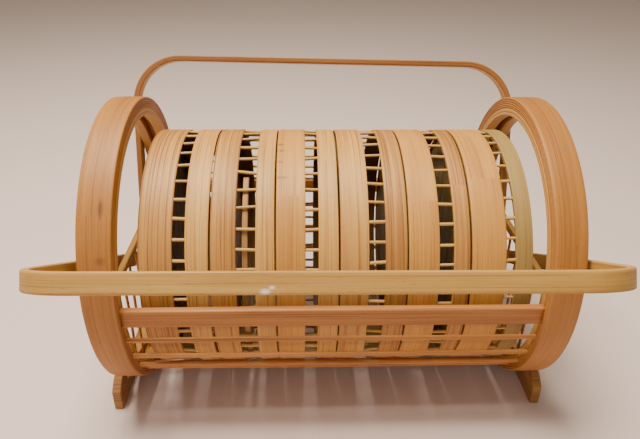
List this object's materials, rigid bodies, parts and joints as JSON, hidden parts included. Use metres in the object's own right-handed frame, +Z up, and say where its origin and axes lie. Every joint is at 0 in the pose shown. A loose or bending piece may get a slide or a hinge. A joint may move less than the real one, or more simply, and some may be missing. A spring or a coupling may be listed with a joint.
{
  "type": "coaster caddy",
  "caption": "Bamboo caddy that holds round gallery coasters on edge between two laminated end rings, with two folding bail handles.",
  "frame": {"origin": "on the surface it stands on, under the middle of the outline with both handles at rest", "axes": "+X along the stack of coasters, +Y towards the short handle at the back, +Z up"},
  "size_m": [0.1882, 0.156, 0.1248],
  "materials": {
    "ring_bamboo": "waxed bamboo, satin",
    "liner_bamboo": "waxed bamboo, satin",
    "rail_bamboo": "waxed bamboo, satin",
    "foot_bamboo": "waxed bamboo, satin",
    "handle_bamboo": "waxed bamboo, satin",
    "hoop_bamboo": "waxed bamboo, satin",
    "disc_bamboo": "waxed bamboo, satin",
    "stick_bamboo": "waxed bamboo, satin"
  },
  "bodies": {
    "carrier": {"left_outer_ring": "ring_bamboo", "left_inboard_liner": "liner_bamboo", "left_outboard_liner": "liner_bamboo", "left_crossbar": "stick_bamboo", "left_grille_sticks": "stick_bamboo", "left_foot": "foot_bamboo", "right_outer_ring": "ring_bamboo", "right_inboard_liner": "liner_bamboo", "right_outboard_liner": "liner_bamboo", "right_crossbar": "stick_bamboo", "right_grille_sticks": "stick_bamboo", "right_foot": "foot_bamboo", "front_rail": "rail_bamboo", "rear_rail": "rail_bamboo", "front_rod_1": "stick_bamboo", "front_rod_2": "stick_bamboo", "front_rod_3": "stick_bamboo", "front_rod_4": "stick_bamboo", "front_rod_5": "stick_bamboo", "front_rod_6": "stick_bamboo", "front_rod_7": "stick_bamboo", "rear_rod_1": "stick_bamboo", "rear_rod_2": "stick_bamboo", "rear_rod_3": "stick_bamboo", "rear_rod_4": "stick_bamboo", "rear_rod_5": "stick_bamboo", "rear_rod_6": "stick_bamboo", "rear_rod_7": "stick_bamboo", "front_handle_pins": "stick_bamboo", "rear_handle_pins": "stick_bamboo", "front_handle_spacers": "stick_bamboo", "foot_dowels": "stick_bamboo"},
    "front_handle": {"front_handle": "handle_bamboo"},
    "rear_handle": {"rear_handle": "handle_bamboo"},
    "coaster_1": {"coaster_1_base_hoop": "hoop_bamboo", "coaster_1_rim_hoop": "hoop_bamboo", "coaster_1_base_disc": "disc_bamboo", "coaster_1_pegs": "stick_bamboo"},
    "coaster_2": {"coaster_2_base_hoop": "hoop_bamboo", "coaster_2_rim_hoop": "hoop_bamboo", "coaster_2_base_disc": "disc_bamboo", "coaster_2_pegs": "stick_bamboo"},
    "coaster_3": {"coaster_3_base_hoop": "hoop_bamboo", "coaster_3_rim_hoop": "hoop_bamboo", "coaster_3_base_disc": "disc_bamboo", "coaster_3_pegs": "stick_bamboo"},
    "coaster_4": {"coaster_4_base_hoop": "hoop_bamboo", "coaster_4_rim_hoop": "hoop_bamboo", "coaster_4_base_disc": "disc_bamboo", "coaster_4_pegs": "stick_bamboo"},
    "coaster_5": {"coaster_5_base_hoop": "hoop_bamboo", "coaster_5_rim_hoop": "hoop_bamboo", "coaster_5_base_disc": "disc_bamboo", "coaster_5_pegs": "stick_bamboo"},
    "coaster_6": {"coaster_6_base_hoop": "hoop_bamboo", "coaster_6_rim_hoop": "hoop_bamboo", "coaster_6_base_disc": "disc_bamboo", "coaster_6_pegs": "stick_bamboo"}
  },
  "joints": [
    {"name": "front_handle_swing", "type": "hinge", "parent": "carrier", "child": "front_handle", "pos_m": [0, 0.0581, 0.0248], "axis": [-1, 0, 0], "range_deg": [-34, 150]},
    {"name": "rear_handle_swing", "type": "hinge", "parent": "carrier", "child": "rear_handle", "pos_m": [0, 0.0384, 0.0106], "axis": [-1, 0, 0], "range_deg": [-8.5, 19]},
    {"name": "coaster_1_lift", "type": "slide", "parent": "carrier", "child": "coaster_1", "axis": [0, 0, 1], "range_m": [0, 0.112]},
    {"name": "coaster_2_lift", "type": "slide", "parent": "carrier", "child": "coaster_2", "axis": [0, 0, 1], "range_m": [0, 0.112]},
    {"name": "coaster_3_lift", "type": "slide", "parent": "carrier", "child": "coaster_3", "axis": [0, 0, 1], "range_m": [0, 0.112]},
    {"name": "coaster_4_lift", "type": "slide", "parent": "carrier", "child": "coaster_4", "axis": [0, 0, 1], "range_m": [0, 0.112]},
    {"name": "coaster_5_lift", "type": "slide", "parent": "carrier", "child": "coaster_5", "axis": [0, 0, 1], "range_m": [0, 0.112]},
    {"name": "coaster_6_lift", "type": "slide", "parent": "carrier", "child": "coaster_6", "axis": [0, 0, 1], "range_m": [0, 0.112]}
  ]
}
